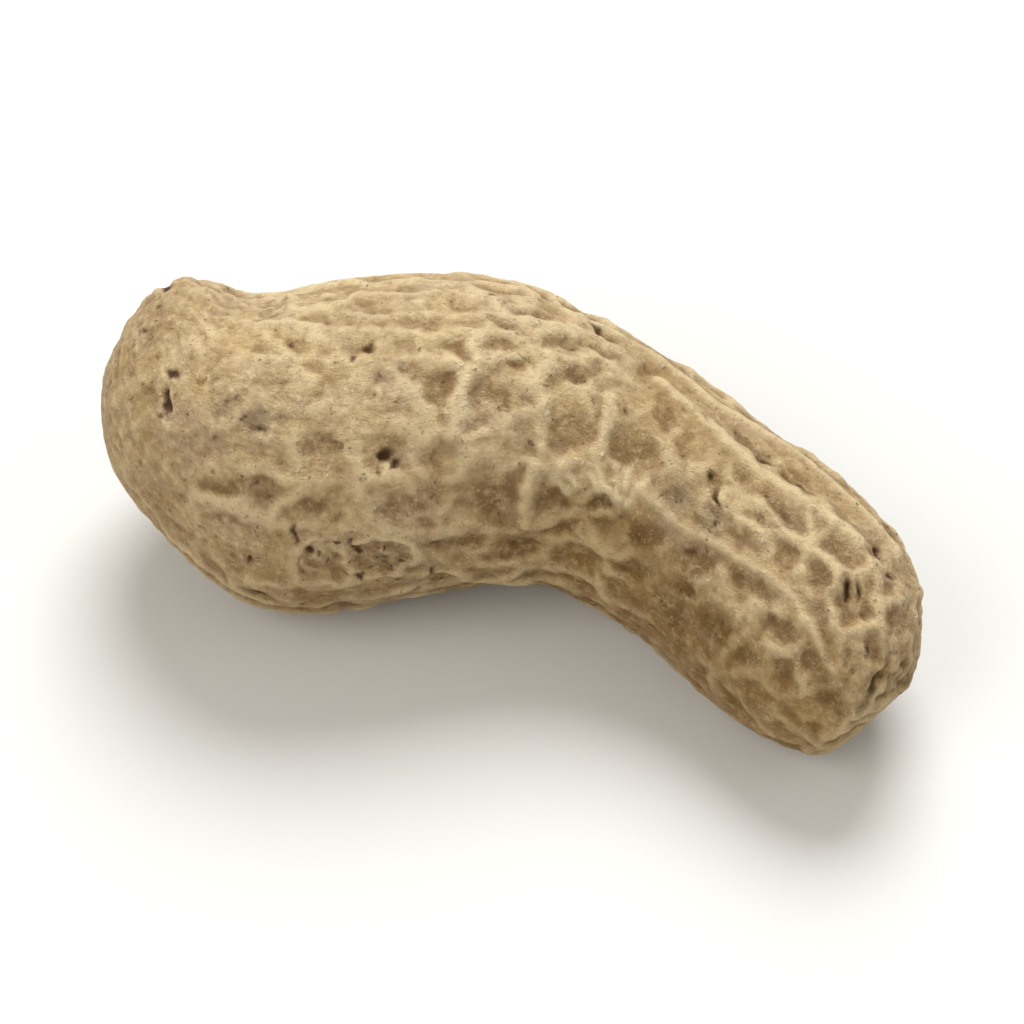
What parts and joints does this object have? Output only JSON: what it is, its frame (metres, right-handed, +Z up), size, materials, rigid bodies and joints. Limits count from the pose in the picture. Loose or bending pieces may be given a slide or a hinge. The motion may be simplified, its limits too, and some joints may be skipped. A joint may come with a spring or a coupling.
{
  "type": "peanut",
  "caption": "Whole peanut in its shell: a curved, waisted pod with ribbed, netted skin, lying on its side.",
  "frame": {"origin": "middle of the bounding box's footprint, on the plane that the pod rests on", "axes": "+X from the large lobe with the stalk scar to the small lobe with the beak, along the line through the two flat spots; +Z up"},
  "size_m": [0.0462, 0.021, 0.0174],
  "materials": {
    "shell": "matte"
  },
  "bodies": {
    "root": {"peanut_pod": "shell"}
  },
  "joints": []
}
